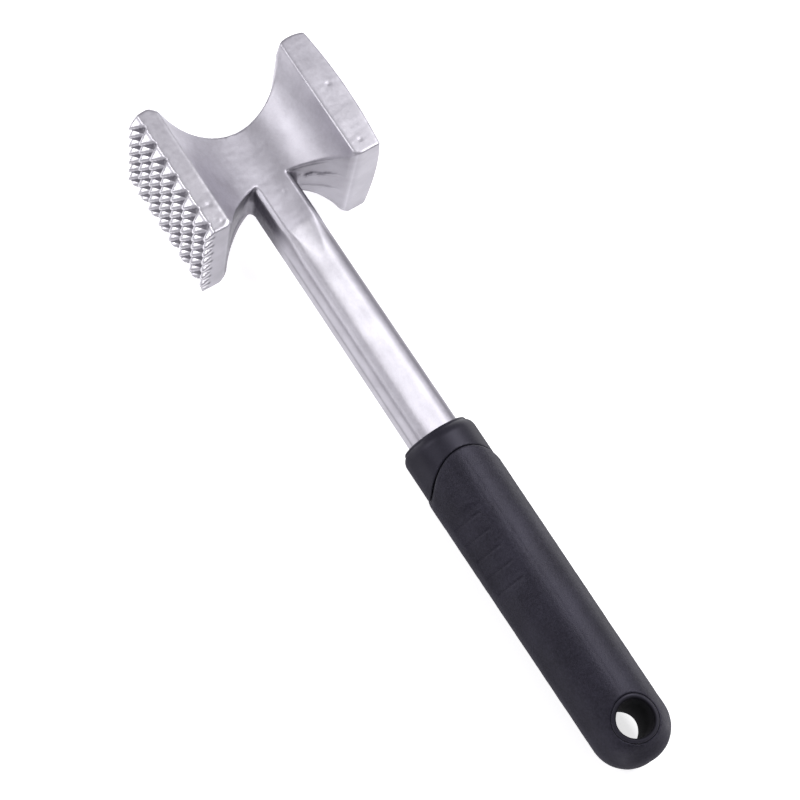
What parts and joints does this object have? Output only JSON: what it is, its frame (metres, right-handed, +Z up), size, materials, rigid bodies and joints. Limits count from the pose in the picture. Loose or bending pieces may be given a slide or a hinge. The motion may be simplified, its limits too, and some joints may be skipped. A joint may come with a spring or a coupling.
{
  "type": "meat mallet",
  "caption": "Two-faced meat mallet: cast light-metal head with a toothed face and a crowned smooth face, waisted body, and round soft-grip handle with a hanging hole.",
  "frame": {"origin": "the floor below the middle of the mallet's box, with the mallet lying on its back on the rear edges of both plates and the underside of the handle's end", "axes": "+X from the head towards the handle's end, +Y from the toothed face to the smooth face, +Z up out of the front; the handle's end is tilted down by 3 degrees"},
  "size_m": [0.2726, 0.0738, 0.0524],
  "materials": {
    "cast_aluminium": "satin as-cast, fine grain",
    "hard_plastic": "matte moulded",
    "soft_grip": "matte soft-touch, fine grain"
  },
  "bodies": {
    "root": {"head_casting": "cast_aluminium", "handle_core": "hard_plastic", "soft_grip": "soft_grip"}
  },
  "joints": []
}
